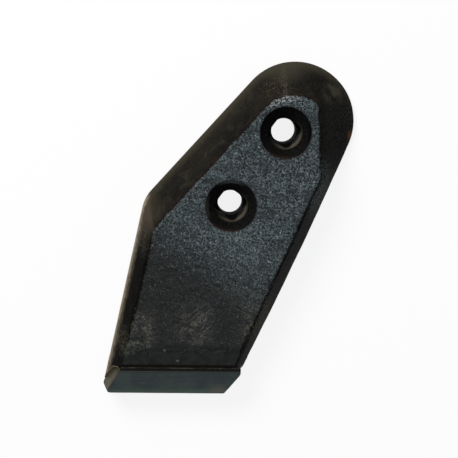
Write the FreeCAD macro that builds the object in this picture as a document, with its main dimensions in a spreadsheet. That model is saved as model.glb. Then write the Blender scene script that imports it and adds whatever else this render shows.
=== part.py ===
import FreeCAD, Part
import math
import os
import re
import Sketcher

# Plough point: a forged steel body with two plough-bolt holes, and a hard bar brazed across its nose.
# Millimetres. +Z points out of the soil face and the flat back lies at Z = 0. The origin is on the
# back, midway between the two bolt holes, and +Y runs along the line of holes towards the heel.
# An edge's facing is the angle, from +X, of the direction in which it looks away from the part.
# Its distance is measured from the origin along its facing.

DIMENSIONS = [
    ("body_thickness", 25.0),
    ("rim_height", 3.0),
    ("back_edge_radius", 0.6),
    # Back outline: a round heel, the wing edge and the right edge tangent to it, and the nose.
    ("heel_x", 2.5),
    ("heel_y", 29.8),
    ("heel_radius", 29.9),
    ("wing_facing", 173.9),
    ("shoulder_radius", 20.0),
    ("left_facing", 203.8),
    ("left_distance", 51.8),
    ("right_facing", 13.4),
    ("right_bow_radius", 2200.0),
    ("nose_facing", -54.4),
    ("nose_distance", 115.0),
    ("ridge_start_facing", 86.0),
    ("ridge_end_facing", 68.0),
    ("right_break_y", 21.2),
    # Soil face: its outline lies inside the back outline, so that the flanks slope.
    ("face_arc_x", 3.5),
    ("face_arc_y", 24.1),
    ("face_arc_radius", 19.1),
    ("face_shoulder_radius", 7.0),
    ("left_flank_run", 7.4),
    ("facet_facing", 40.4),
    ("facet_distance", 31.3),
    ("facet_corner_radius", 3.9),
    ("facet_break_length", 24.6),
    ("face_right_facing", 12.2),
    ("face_right_distance", 30.8),
    ("face_edge_radius", 1.8),
    # Nose: the face falls to the seam, and the seat of the bar leans forward below it.
    ("fall_start", 47.0),
    ("fall_depth", 3.8),
    ("seam_distance", 101.8),
    ("seam_chamfer", 0.8),
    ("seat_knee_distance", 103.6),
    ("seat_knee_height", 11.2),
    ("seat_foot_distance", 112.6),
    ("toe_notch_distance", 105.2),
    # Holes for countersunk plough bolts with square necks.
    ("hole_spacing", 45.0),
    ("sink_diameter", 25.0),
    ("sink_mouth_depth", 2.2),
    ("sink_seat_diameter", 22.2),
    ("neck_top_depth", 6.4),
    ("neck_width", 13.2),
    ("neck_corner_radius", 2.8),
    ("neck_foot_depth", 14.0),
    ("bolt_hole_diameter", 12.4),
    # Hard bar across the nose.
    ("bar_foot_distance", 116.4),
    ("bar_lip_distance", 116.4),
    ("bar_lip_height", 16.0),
    ("bar_crest_distance", 103.5),
    ("bar_crest_height", 21.8),
    ("bar_back_height", 20.6),
    ("bar_left_facing", 191.0),
    ("bar_left_distance", 22.4),
    ("bar_left_run", 4.0),
    ("bar_right_facing", -0.2),
    ("bar_right_distance", 56.4),
    ("bar_shoulder_distance", -6.4),
    ("bar_corner_radius", 1.4),
    ("bar_edge_radius", 0.8),
    # How far cutting outlines reach beyond the material.
    ("cut_margin", 150.0),
]

START, END, CENTRE = 1, 2, 3
ORIGIN = -1
UP = FreeCAD.Vector(0, 0, 1)
THROUGH_LENGTH = 500

document = FreeCAD.newDocument("plough_point")
sheet = document.addObject("Spreadsheet::Sheet", "Dimensions")
for row_number, (alias, size) in enumerate(DIMENSIONS, start=1):
    sheet.set("A%d" % row_number, alias)
    sheet.set("B%d" % row_number, "%g" % size)
    sheet.setAlias("B%d" % row_number, alias)
document.recompute()


def on_sheet(words):
    """An expression in the sheet's names, with each name turned into its cell."""
    return re.sub(r"[a-z]+_[a-z_]+", r"Dimensions.\g<0>", words)


def dim(words):
    """What an expression in the sheet's names comes to."""
    return float(sheet.evalExpression(on_sheet(words)))


def corner_point(x_words, y_words):
    return FreeCAD.Vector(dim(x_words), dim(y_words), 0)


def facing_vector(facing):
    return FreeCAD.Vector(math.cos(math.radians(facing)), math.sin(math.radians(facing)), 0)


def meeting_point(facing_a, distance_a, facing_b, distance_b):
    """The corner of two straight edges."""
    a = facing_vector(facing_a)
    b = facing_vector(facing_b)
    cross = a.x * b.y - a.y * b.x
    return FreeCAD.Vector((distance_a * b.y - a.y * distance_b) / cross,
                          (a.x * distance_b - distance_a * b.x) / cross, 0)


def rounding_centre(facing_a, distance_a, facing_b, distance_b, radius):
    """The centre of an arc that rounds the corner of two edges."""
    return meeting_point(facing_a, distance_a - radius, facing_b, distance_b - radius)


def new_body(name):
    body = document.addObject("PartDesign::Body", name)
    body.Label = name
    body.Placement = FreeCAD.Placement()
    return body


def origin_item(body, role):
    return next(item for item in body.Origin.OriginFeatures if item.Role == role)


def new_sketch(body, name, plane_role):
    sketch = body.newObject("Sketcher::SketchObject", name)
    sketch.AttachmentSupport = (origin_item(body, plane_role), [""])
    sketch.MapMode = "FlatFace"
    return sketch


def level_sketch(body, name, height):
    """A sketch parallel to the back."""
    sketch = new_sketch(body, name, "XY_Plane")
    sketch.setExpression("AttachmentOffset.Base.z", on_sheet(height))
    return sketch


def section_sketch(body, name, facing):
    """An upright sketch square to an edge: x is the distance towards it, y is the height."""
    sketch = new_sketch(body, name, "XZ_Plane")
    turn = FreeCAD.Rotation(FreeCAD.Vector(0, 1, 0), dim(facing))
    sketch.AttachmentOffset = FreeCAD.Placement(FreeCAD.Vector(), turn)
    return sketch


def add_line(sketch, start, end):
    return sketch.addGeometry(Part.LineSegment(start, end), False)


def add_arc(sketch, centre, radius, start_angle, end_angle):
    circle = Part.Circle(centre, UP, radius)
    return sketch.addGeometry(
        Part.ArcOfCircle(circle, math.radians(start_angle), math.radians(end_angle)), False)


def join(sketch, kind, first, first_place, second, second_place):
    sketch.addConstraint(Sketcher.Constraint(kind, first, first_place, second, second_place))


def drive(sketch, kind, places, words):
    """A dimension of the sketch that follows the sheet."""
    value = math.radians(dim(words)) if kind == "Angle" else dim(words)
    index = sketch.addConstraint(Sketcher.Constraint(kind, *places, value))
    sketch.setExpression("Constraints[%d]" % index, on_sheet(words))


def drive_point(sketch, geometry, place, x_words, y_words):
    drive(sketch, "DistanceX", (ORIGIN, START, geometry, place), x_words)
    drive(sketch, "DistanceY", (ORIGIN, START, geometry, place), y_words)


def drive_edge(sketch, geometry, facing, distance=None):
    """Sets a straight edge's facing, and its distance where that is given."""
    drive(sketch, "Angle", (geometry,), "%s - 90" % facing)
    if distance is not None:
        drive(sketch, "Distance", (ORIGIN, START, geometry), distance)


def open_path(sketch, corners):
    """Straight lines from corner to corner, each corner a pair of expressions."""
    points = [corner_point(*corner) for corner in corners]
    lines = [add_line(sketch, start, end) for start, end in zip(points, points[1:])]
    for line, following in zip(lines, lines[1:]):
        join(sketch, "Coincident", line, END, following, START)
    for line, corner in zip(lines, corners):
        drive_point(sketch, line, START, *corner)
    return lines


def closed_path(sketch, corners):
    lines = open_path(sketch, corners)
    last = add_line(sketch, corner_point(*corners[-1]), corner_point(*corners[0]))
    join(sketch, "Coincident", lines[-1], END, last, START)
    join(sketch, "Coincident", last, END, lines[0], START)
    drive_point(sketch, last, START, *corners[-1])
    return sketch


def back_outline(body, name, height):
    """The outline of the back, from the nose up the left edge and over the heel."""
    sketch = level_sketch(body, name, height)
    heel = corner_point("heel_x", "heel_y")
    heel_radius = dim("heel_radius")
    ridge_start = dim("ridge_start_facing")
    ridge_end = dim("ridge_end_facing")
    wing = dim("wing_facing")
    left = dim("left_facing")
    right = dim("right_facing")
    nose = dim("nose_facing")
    wing_distance = heel.dot(facing_vector(wing)) + heel_radius
    shoulder_radius = dim("shoulder_radius")
    shoulder = rounding_centre(wing, wing_distance, left, dim("left_distance"), shoulder_radius)
    bow_radius = dim("right_bow_radius")
    bow = heel + facing_vector(right) * (heel_radius - bow_radius)
    bow_break = math.degrees(math.asin((dim("right_break_y") - bow.y) / bow_radius))
    bow_reach = dim("nose_distance") - bow.dot(facing_vector(nose))
    bow_end = nose + math.degrees(math.acos(bow_reach / bow_radius))
    nose_left = meeting_point(nose, dim("nose_distance"), left, dim("left_distance"))

    nose_line = add_line(sketch, bow + facing_vector(bow_end) * bow_radius, nose_left)
    left_line = add_line(sketch, nose_left, shoulder + facing_vector(left) * shoulder_radius)
    shoulder_arc = add_arc(sketch, shoulder, shoulder_radius, wing, left)
    wing_line = add_line(sketch, shoulder + facing_vector(wing) * shoulder_radius,
                         heel + facing_vector(wing) * heel_radius)
    heel_left = add_arc(sketch, heel, heel_radius, ridge_start, wing)
    heel_ridge = add_arc(sketch, heel, heel_radius, ridge_end, ridge_start)
    heel_right = add_arc(sketch, heel, heel_radius, right, ridge_end)
    right_upper = add_arc(sketch, bow, bow_radius, bow_break, right)
    right_lower = add_arc(sketch, bow, bow_radius, bow_end, bow_break)

    join(sketch, "Coincident", nose_line, END, left_line, START)
    join(sketch, "Tangent", left_line, END, shoulder_arc, END)
    join(sketch, "Tangent", shoulder_arc, START, wing_line, START)
    join(sketch, "Tangent", wing_line, END, heel_left, END)
    join(sketch, "Coincident", heel_left, START, heel_ridge, END)
    join(sketch, "Coincident", heel_ridge, START, heel_right, END)
    join(sketch, "Coincident", heel_left, CENTRE, heel_ridge, CENTRE)
    join(sketch, "Coincident", heel_ridge, CENTRE, heel_right, CENTRE)
    join(sketch, "Tangent", heel_right, START, right_upper, END)
    join(sketch, "Coincident", right_upper, START, right_lower, END)
    join(sketch, "Coincident", right_upper, CENTRE, right_lower, CENTRE)
    join(sketch, "Coincident", right_lower, START, nose_line, START)

    drive_point(sketch, heel_left, CENTRE, "heel_x", "heel_y")
    drive(sketch, "Radius", (heel_left,), "heel_radius")
    drive(sketch, "Radius", (shoulder_arc,), "shoulder_radius")
    drive(sketch, "Radius", (right_upper,), "right_bow_radius")
    drive_edge(sketch, wing_line, "wing_facing")
    drive_edge(sketch, left_line, "left_facing", "left_distance")
    drive_edge(sketch, nose_line, "nose_facing", "nose_distance")
    drive(sketch, "DistanceY", (heel_left, CENTRE, heel_right, START), "heel_radius * sin(right_facing)")
    drive(sketch, "DistanceX", (heel_left, CENTRE, heel_left, START),
          "heel_radius * cos(ridge_start_facing)")
    drive(sketch, "DistanceX", (heel_left, CENTRE, heel_ridge, START),
          "heel_radius * cos(ridge_end_facing)")
    drive(sketch, "DistanceY", (ORIGIN, START, right_upper, START), "right_break_y")
    return sketch


def face_outline(body, name, height):
    """The outline of the soil face, with one edge for each edge of the back outline."""
    sketch = level_sketch(body, name, height)
    centre = corner_point("face_arc_x", "face_arc_y")
    radius = dim("face_arc_radius")
    wing = dim("wing_facing")
    left = dim("left_facing")
    facet = dim("facet_facing")
    right = dim("face_right_facing")
    nose = dim("nose_facing")
    left_distance = dim("left_distance - left_flank_run")
    wing_distance = centre.dot(facing_vector(wing)) + radius
    shoulder_radius = dim("face_shoulder_radius")
    shoulder = rounding_centre(wing, wing_distance, left, left_distance, shoulder_radius)
    corner_radius = dim("facet_corner_radius")
    corner_reach = radius - corner_radius
    corner_depth = dim("facet_distance") - corner_radius - centre.dot(facing_vector(facet))
    arc_end = facet + math.degrees(math.acos(corner_depth / corner_reach))
    corner = centre + facing_vector(arc_end) * corner_reach
    facet_start = corner + facing_vector(facet) * corner_radius
    facet_break = facet_start + facing_vector(facet - 90) * dim("facet_break_length")
    facet_end = meeting_point(facet, dim("facet_distance"), right, dim("face_right_distance"))
    nose_right = meeting_point(nose, dim("nose_distance"), right, dim("face_right_distance"))
    nose_left = meeting_point(nose, dim("nose_distance"), left, left_distance)

    nose_line = add_line(sketch, nose_right, nose_left)
    left_line = add_line(sketch, nose_left, shoulder + facing_vector(left) * shoulder_radius)
    shoulder_arc = add_arc(sketch, shoulder, shoulder_radius, wing, left)
    wing_line = add_line(sketch, shoulder + facing_vector(wing) * shoulder_radius,
                         centre + facing_vector(wing) * radius)
    face_arc = add_arc(sketch, centre, radius, arc_end, wing)
    corner_arc = add_arc(sketch, corner, corner_radius, facet, arc_end)
    facet_upper = add_line(sketch, facet_start, facet_break)
    facet_lower = add_line(sketch, facet_break, facet_end)
    right_line = add_line(sketch, facet_end, nose_right)

    join(sketch, "Coincident", nose_line, END, left_line, START)
    join(sketch, "Tangent", left_line, END, shoulder_arc, END)
    join(sketch, "Tangent", shoulder_arc, START, wing_line, START)
    join(sketch, "Tangent", wing_line, END, face_arc, END)
    join(sketch, "Tangent", face_arc, START, corner_arc, END)
    join(sketch, "Tangent", corner_arc, START, facet_upper, START)
    join(sketch, "Coincident", facet_upper, END, facet_lower, START)
    join(sketch, "Coincident", facet_lower, END, right_line, START)
    join(sketch, "Coincident", right_line, END, nose_line, START)

    drive_point(sketch, face_arc, CENTRE, "face_arc_x", "face_arc_y")
    drive(sketch, "Radius", (face_arc,), "face_arc_radius")
    drive(sketch, "Radius", (corner_arc,), "facet_corner_radius")
    drive(sketch, "Radius", (shoulder_arc,), "face_shoulder_radius")
    drive_edge(sketch, wing_line, "wing_facing")
    drive_edge(sketch, left_line, "left_facing", "left_distance - left_flank_run")
    drive_edge(sketch, facet_upper, "facet_facing", "facet_distance")
    drive_edge(sketch, facet_lower, "facet_facing")
    drive(sketch, "Distance", (facet_upper,), "facet_break_length")
    drive_edge(sketch, right_line, "face_right_facing", "face_right_distance")
    drive_edge(sketch, nose_line, "nose_facing", "nose_distance")
    return sketch


def seat_distance(height):
    """Where the upper part of the bar's seat lies at a height, as an expression."""
    lean = "(seat_knee_distance - seam_distance) / (body_thickness - fall_depth - seat_knee_height)"
    return "seat_knee_distance - %s * (%s - seat_knee_height)" % (lean, height)


def fall_radius():
    """The radius of the arc in which the soil face falls to the seam."""
    run = dim("seam_distance - seam_chamfer - fall_start")
    depth = dim("fall_depth")
    return (run ** 2 + depth ** 2) / (2 * depth)


def nose_cut_outline(body):
    """The material ahead of the seat and above the falling end of the soil face."""
    sketch = section_sketch(body, "nose_cut_outline", "nose_facing")
    seam_height = "body_thickness - fall_depth"
    chamfer_foot = "body_thickness - fall_depth - seam_chamfer"
    far = "nose_distance + cut_margin"
    lines = open_path(sketch, [
        ("seam_distance - seam_chamfer", seam_height),
        (seat_distance(chamfer_foot), chamfer_foot),
        ("seat_knee_distance", "seat_knee_height"),
        ("seat_foot_distance", "0"),
        ("seat_foot_distance", "-cut_margin"),
        (far, "-cut_margin"),
        (far, "body_thickness + cut_margin"),
        ("fall_start", "body_thickness + cut_margin"),
        ("fall_start", "body_thickness"),
    ])
    radius = fall_radius()
    centre = corner_point("fall_start", "body_thickness") - FreeCAD.Vector(0, radius, 0)
    fall_end = corner_point("seam_distance - seam_chamfer", seam_height) - centre
    fall = add_arc(sketch, centre, radius, math.degrees(math.atan2(fall_end.y, fall_end.x)), 90)
    join(sketch, "Coincident", fall, START, lines[0], START)
    join(sketch, "Coincident", fall, END, lines[-1], END)
    drive(sketch, "DistanceX", (ORIGIN, START, fall, CENTRE), "fall_start")
    drive_point(sketch, fall, END, "fall_start", "body_thickness")
    return sketch


def toe_notch_outline(body):
    """The right corner of the toe, cut back so that the toe ends flush with the bar."""
    sketch = level_sketch(body, "toe_notch_outline", "0")
    nose = dim("nose_facing")
    end = dim("bar_right_facing")
    reach = dim("cut_margin")
    corner = meeting_point(nose, dim("toe_notch_distance"), end, dim("bar_right_distance"))
    outward = corner + facing_vector(nose + 90) * reach
    forward = corner + facing_vector(end - 90) * reach
    ahead = outward + forward - corner
    lines = [add_line(sketch, *ends) for ends in
             [(corner, outward), (outward, ahead), (ahead, forward), (forward, corner)]]
    for line, following in zip(lines, lines[1:] + lines[:1]):
        join(sketch, "Coincident", line, END, following, START)
    drive_edge(sketch, lines[0], "nose_facing + 180", "toe_notch_distance")
    drive_edge(sketch, lines[3], "bar_right_facing + 180", "bar_right_distance")
    for opposite, line in [(2, 0), (1, 3)]:
        sketch.addConstraint(Sketcher.Constraint("Parallel", lines[opposite], lines[line]))
        drive(sketch, "Distance", (lines[line],), "cut_margin")
    return sketch


def cut_through(body, name, sketch):
    """A pocket that cuts its outline right through, to both sides of the sketch."""
    pocket = body.newObject("PartDesign::Pocket", name)
    pocket.Profile = sketch
    pocket.SideType = "Symmetric"
    pocket.Length = THROUGH_LENGTH
    return pocket


def cut_down(body, name, sketch, depth):
    """A pocket from the soil face downwards."""
    pocket = body.newObject("PartDesign::Pocket", name)
    pocket.Profile = sketch
    pocket.setExpression("Length", on_sheet(depth))
    return pocket


def sink_outline(body):
    """Half the section of the heel hole's countersink, to be turned about the bolt's axis."""
    sketch = new_sketch(body, "sink_outline", "YZ_Plane")
    sketch.setExpression("AttachmentOffset.Base.x", on_sheet("hole_spacing / 2"))
    return closed_path(sketch, [
        ("0", "body_thickness - neck_top_depth"),
        ("neck_width / 2", "body_thickness - neck_top_depth"),
        ("sink_seat_diameter / 2", "body_thickness - sink_mouth_depth"),
        ("sink_diameter / 2", "body_thickness"),
        ("sink_diameter / 2", "body_thickness + cut_margin"),
        ("0", "body_thickness + cut_margin"),
    ])


def neck_outline(body):
    """The square neck of the heel hole, with rounded corners."""
    sketch = level_sketch(body, "neck_outline", "body_thickness")
    radius = dim("neck_corner_radius")
    reach = "(neck_width / 2 - neck_corner_radius)"
    corners = []
    for quarter, (x_sign, y_sign) in enumerate([("", "+"), ("-", "+"), ("-", "-"), ("", "-")]):
        x_words = "%s%s" % (x_sign, reach)
        y_words = "hole_spacing / 2 %s %s" % (y_sign, reach)
        centre = corner_point(x_words, y_words)
        corner = add_arc(sketch, centre, radius, 90 * quarter, 90 * quarter + 90)
        drive_point(sketch, corner, CENTRE, x_words, y_words)
        drive(sketch, "Radius", (corner,), "neck_corner_radius")
        corners.append((corner, centre))
    for quarter, (corner, centre) in enumerate(corners):
        following, following_centre = corners[(quarter + 1) % 4]
        across = facing_vector(90 * quarter + 90) * radius
        side = add_line(sketch, centre + across, following_centre + across)
        join(sketch, "Tangent", corner, END, side, START)
        join(sketch, "Tangent", side, END, following, START)
    return sketch


def bolt_hole_outline(body):
    sketch = level_sketch(body, "bolt_hole_outline", "body_thickness")
    circle = Part.Circle(corner_point("0", "hole_spacing / 2"), UP, dim("bolt_hole_diameter / 2"))
    hole = sketch.addGeometry(circle, False)
    drive_point(sketch, hole, CENTRE, "0", "hole_spacing / 2")
    drive(sketch, "Diameter", (hole,), "bolt_hole_diameter")
    return sketch


def face_height(point):
    """The height of the soil face at a point: level, then falling to the seam."""
    beyond = max(0.0, point.dot(facing_vector(dim("nose_facing"))) - dim("fall_start"))
    radius = fall_radius()
    return dim("body_thickness") - radius + math.sqrt(radius ** 2 - beyond ** 2)


def runs_along_face(edge):
    """Whether an edge bounds the soil face, other than across the nose."""
    ends = [vertex.Point for vertex in edge.Vertexes]
    on_face = all(abs(point.z - face_height(point)) < 0.01 for point in ends)
    nose = facing_vector(dim("nose_facing"))
    return on_face and abs((ends[0] - ends[-1]).dot(nose)) > 1.0


def lies_on_back(edge):
    return all(abs(vertex.Point.z) < 0.001 for vertex in edge.Vertexes)


def is_level(edge):
    return abs(edge.Vertexes[0].Point.z - edge.Vertexes[-1].Point.z) < 0.001


def stands_on_front(edge):
    """Whether an edge of the bar has both its ends on the bar's front."""
    nose = facing_vector(dim("nose_facing"))
    return all(vertex.Point.dot(nose) > dim("bar_lip_distance") - 0.01 for vertex in edge.Vertexes)


def is_bar_corner(edge):
    """The upright edge at the left end of the bar's front."""
    left = facing_vector(dim("bar_left_facing"))
    near_left = all(vertex.Point.dot(left) > dim("bar_left_distance - bar_left_run")
                    for vertex in edge.Vertexes)
    return stands_on_front(edge) and near_left and not is_level(edge)


def is_bar_edge(edge):
    """Whether an edge of the bar lies on its top facet, or across its front at the lip."""
    nose = facing_vector(dim("nose_facing"))
    return all(vertex.Point.dot(nose) > dim("bar_crest_distance") - 0.01
               and vertex.Point.z > dim("bar_lip_height") - 0.01 for vertex in edge.Vertexes)


def round_edges(body, name, base, radius, wanted):
    """Rounds the wanted edges of a feature."""
    document.recompute()
    names = ["Edge%d" % number for number, edge in enumerate(base.Shape.Edges, start=1) if wanted(edge)]
    fillet = body.newObject("PartDesign::Fillet", name)
    fillet.Base = (base, names)
    fillet.setExpression("Radius", on_sheet(radius))
    return fillet


# The forged body: two outlines joined by sloping flanks, cut off at the nose.

point_body = new_body("point_body")

rim = point_body.newObject("PartDesign::Pad", "rim")
rim.Profile = back_outline(point_body, "rim_outline", "0")
rim.setExpression("Length", on_sheet("rim_height"))

flanks = point_body.newObject("PartDesign::AdditiveLoft", "flanks")
flanks.Profile = back_outline(point_body, "flank_foot", "rim_height")
flanks.Sections = [face_outline(point_body, "flank_top", "body_thickness")]
flanks.Ruled = True

nose_cut = cut_through(point_body, "nose_cut", nose_cut_outline(point_body))
toe_notch = cut_through(point_body, "toe_notch", toe_notch_outline(point_body))

face_rounding = round_edges(point_body, "face_rounding", toe_notch, "face_edge_radius", runs_along_face)
back_rounding = round_edges(point_body, "back_rounding", face_rounding, "back_edge_radius", lies_on_back)

# The two bolt holes, made at the heel and repeated towards the nose.

sink = point_body.newObject("PartDesign::Groove", "sink")
sink.Profile = sink_outline(point_body)
sink.ReferenceAxis = (sink.Profile[0], ["V_Axis"])
sink.Angle = 360
neck = cut_down(point_body, "neck", neck_outline(point_body), "neck_foot_depth")
bolt_hole = cut_down(point_body, "bolt_hole", bolt_hole_outline(point_body), "body_thickness + cut_margin")

hole_row = point_body.newObject("PartDesign::LinearPattern", "hole_row")
hole_row.Originals = [sink, neck, bolt_hole]
hole_row.Direction = (origin_item(point_body, "Y_Axis"), [""])
hole_row.Reversed = True
hole_row.setExpression("Length", on_sheet("hole_spacing"))
hole_row.Occurrences = 2
point_body.Tip = hole_row

# The hard bar, as long as the nose is wide.

tip_bar = new_body("tip_bar")

bar = tip_bar.newObject("PartDesign::Pad", "bar")
bar.Profile = closed_path(section_sketch(tip_bar, "bar_outline", "nose_facing"), [
    ("seat_foot_distance", "0"),
    ("bar_foot_distance", "0"),
    ("bar_lip_distance", "bar_lip_height"),
    ("bar_crest_distance", "bar_crest_height"),
    (seat_distance("bar_back_height"), "bar_back_height"),
    ("seat_knee_distance", "seat_knee_height"),
])
bar.SideType = "Symmetric"
bar.setExpression("Length", on_sheet("2 * nose_distance"))

left_end = cut_through(tip_bar, "left_end", closed_path(
    section_sketch(tip_bar, "left_end_outline", "bar_left_facing"), [
        ("bar_left_distance", "0"),
        ("bar_left_distance", "-cut_margin"),
        ("bar_left_distance + cut_margin", "-cut_margin"),
        ("bar_left_distance + cut_margin", "body_thickness"),
        ("bar_left_distance - bar_left_run", "body_thickness"),
    ]))
for name, facing, distance in [("right_end", "bar_right_facing", "bar_right_distance"),
                               ("right_shoulder", "nose_facing + 90", "bar_shoulder_distance")]:
    last_cut = cut_through(tip_bar, name, closed_path(section_sketch(tip_bar, name + "_outline", facing), [
        (distance, "-cut_margin"),
        (distance + " + cut_margin", "-cut_margin"),
        (distance + " + cut_margin", "cut_margin"),
        (distance, "cut_margin"),
    ]))
corner_rounding = round_edges(tip_bar, "corner_rounding", last_cut, "bar_corner_radius", is_bar_corner)
bar_rounding = round_edges(tip_bar, "bar_rounding", corner_rounding, "bar_edge_radius", is_bar_edge)

document.recompute()
parts = [point_body, tip_bar]
for item in document.Objects:
    if "Invalid" in item.State or "Error" in item.State:
        raise RuntimeError("%s could not be made: %s" % (item.Name, item.State))
for part in parts:
    if part.Shape.isNull() or not part.Shape.isValid():
        raise RuntimeError("%s has no valid shape" % part.Label)

os.makedirs("parts", exist_ok=True)
for part in parts:
    part.Shape.exportStep("parts/%s.step" % part.Label)
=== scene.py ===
import math

import bmesh
import bpy
from mathutils import Matrix, Vector, noise
from mathutils.geometry import delaunay_2d_cdt
from mathutils.kdtree import KDTree


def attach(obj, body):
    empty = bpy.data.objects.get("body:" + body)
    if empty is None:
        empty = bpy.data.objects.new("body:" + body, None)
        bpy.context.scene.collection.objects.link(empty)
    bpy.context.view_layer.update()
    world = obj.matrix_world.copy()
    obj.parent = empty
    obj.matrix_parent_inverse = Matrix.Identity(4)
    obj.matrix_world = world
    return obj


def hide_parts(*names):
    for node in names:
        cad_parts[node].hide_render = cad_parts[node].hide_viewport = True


# A forged plough point with a hard bar brazed across its nose, lying on its back.
# Lengths are in millimetres until a mesh is made, and the frame is the CAD model's: +Z points out of
# the soil face, +Y to the heel, and the origin is on the back, midway between the two bolt holes.
# An edge's facing is the angle, from +X, of the direction in which it looks away from the part.
# Its distance is measured from the origin along its facing.

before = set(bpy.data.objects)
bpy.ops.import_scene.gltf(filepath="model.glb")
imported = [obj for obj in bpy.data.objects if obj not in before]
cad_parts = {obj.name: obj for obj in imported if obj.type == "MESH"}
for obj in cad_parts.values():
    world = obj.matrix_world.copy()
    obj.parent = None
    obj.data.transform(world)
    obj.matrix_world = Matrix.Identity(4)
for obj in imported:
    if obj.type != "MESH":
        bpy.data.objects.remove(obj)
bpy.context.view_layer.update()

MM = 0.001

THICKNESS = 25.0
RIM_HEIGHT = 3.0
BACK_EDGE_RADIUS = 0.6
FACE_EDGE_RADIUS = 1.8

# The outline of the back.
HEEL = Vector((2.5, 29.8))
HEEL_RADIUS = 29.9
WING_FACING = 173.9
SHOULDER_RADIUS = 20.0
LEFT_FACING = 203.8
LEFT_DISTANCE = 51.8
RIGHT_FACING = 13.4
BOW_RADIUS = 2200.0
RIDGE_START = 86.0
RIDGE_END = 68.0
BREAK_Y = 21.2

# The outline of the soil face.
FACE_ARC = Vector((3.5, 24.1))
FACE_ARC_RADIUS = 19.1
FACE_SHOULDER_RADIUS = 7.0
FACE_LEFT_DISTANCE = 44.4
FACET_FACING = 40.4
FACET_DISTANCE = 31.3
FACET_CORNER_RADIUS = 3.9
FACET_BREAK_LENGTH = 24.6
FACET_FOOT_RADIUS = 3.0
FACE_RIGHT_FACING = 12.2
FACE_RIGHT_DISTANCE = 30.8

# The direction that the right flank looks in, all along its bow.
RIGHT_WALL_FACING = 20.0

# The nose, by the distance towards it and the height.
NOSE_FACING = -54.4
NOSE_DISTANCE = 115.0
FALL_START = 47.0
FALL_DEPTH = 3.8
SEAM = 101.8
SEAM_CHAMFER = 0.8
KNEE = (103.6, 11.2)
FOOT = 112.6
TOE_NOTCH = 105.2

# The holes.
HOLE_CENTRES = (Vector((0.0, 22.5)), Vector((0.0, -22.5)))
SINK_RADIUS = 12.5
SINK_LIP = 0.35
SEAT_RADIUS = 11.1
MOUTH_DEPTH = 2.2
NECK_TOP_DEPTH = 6.4
NECK_HALF = 6.6
NECK_CORNER_RADIUS = 2.8
NECK_FOOT_DEPTH = 14.0
BORE_RADIUS = 6.2
BORE_FOOT_RADIUS = 6.32
NECK_EDGE = 0.25
BORE_EDGE = 0.2

# The bar.
BAR_EDGE_RADIUS = 0.8
SEAT_EDGE_RADIUS = 0.12
BAR_LIP = 116.4
BAR_LIP_HEIGHT = 16.0
BAR_TOP = (103.5, 21.8)
BAR_SEAT_HEIGHT = 20.6
# The distance, height and rounding of each corner of the bar's section.
BAR_SECTION = [
    (FOOT, 0.0, SEAT_EDGE_RADIUS),
    (BAR_LIP, 0.0, BAR_EDGE_RADIUS),
    (BAR_LIP, BAR_LIP_HEIGHT, BAR_EDGE_RADIUS),
    (*BAR_TOP, BAR_EDGE_RADIUS),
    (101.91, BAR_SEAT_HEIGHT, SEAT_EDGE_RADIUS),
    (*KNEE, SEAT_EDGE_RADIUS),
]
BAR_LEFT_FACING = 191.0
BAR_LEFT_DISTANCE = 22.4
BAR_LEFT_RUN = 4.0
BAR_RIGHT_FACING = -0.2
BAR_RIGHT_DISTANCE = 56.4
BAR_SHOULDER = -6.4
BAR_CORNER_RADIUS = 2.3

# How far apart the points of the meshes lie, and how many there are round a curve or along a piece.
COLUMN_STEP = 0.75
FACE_STEP = 0.62
BACK_STEP = 4.0
BAR_STEP = 1.2
FILLET_STEPS = 6
SINK_COLUMNS = 144
BAR_EDGE_STEPS = 5
BAR_LENGTH_STEPS = 72
BEAD_STEPS = 160
BEAD_SIDES = 10
BEAD_TIP_RADIUS = 0.05
MERGE_DISTANCE = 0.004

# Dents and grain in the skin: how deep they are, and how far across.
FACE_DENT = (0.24, 2.6)
FACE_GRAIN = (0.15, 1.4)
FLANK_DENT = (0.25, 8.0)
FLANK_GRAIN = (0.07, 2.0)
SINK_DENT = (0.05, 1.6)
BAR_DENT = (0.10, 7.0)
BAR_GRAIN = (0.04, 2.2)

# How far the edge of the soil face wanders, and over what length.
EDGE_WANDER = [(0.55, 3.4, Vector((9, 5, 3))), (0.22, 1.5, Vector((3, 8, 1)))]

# Edges between faces that turn by more than this angle stay sharp.
SHARP_ANGLE = 50

# How strongly the steel mirrors what is around it.
FLANK_GLOSS = 0.01
FACE_GLOSS = 0.30
BAR_GLOSS = 0.28
DULL_GLOSS = 0.02
BEAD_GLOSS = 0.1

# The materials of the body and of the bar, by their place in the piece's list.
FLANKS = 0
SOIL_FACE = 1
BAR_STEEL = 0
BAR_DULL = 1

# Along the seam the face takes the flanks' dull steel from here on, and the bar its dull steel up to its
# crest.
DARK_EDGE = 99.9
BAR_CREST = 103.35

# Floor and light, in metres and watts.
FLOOR_HALF = 3.0
FLOOR_DROP = 0.0002
FLOOR_GREY = (0.45, 0.44, 0.42, 1)
FLOOR_WHITE = (0.9, 0.9, 0.9, 1)
FLOOR_GLOW = 0.86
SKY_COLOUR = (0.92, 0.96, 1.0, 1)
SKY_STRENGTH = 0.42
LAMP_PLACE = Vector((-0.9, 0.3, 0.9))
LAMP_SIZE = 0.6
LAMP_POWER = 16.0
LAMP_COLOUR = (1.0, 0.98, 0.95)

# The camera, at the photograph's viewing angle. Its focal length is given in the picture's pixels.
CAMERA_PLACE = Vector((-69.0, 29.08, 654.95)) * MM
CAMERA_AIM = Vector((7.44, -33.53, 12.5)) * MM
CAMERA_UP = Vector((-0.5973, 0.8020, 0.0))
FOCAL_PIXELS = 1288.1
PICTURE_PIXELS = 458
SENSOR_WIDTH = 36.0


def facing_vector(facing):
    return Vector((math.cos(math.radians(facing)), math.sin(math.radians(facing))))


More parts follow.
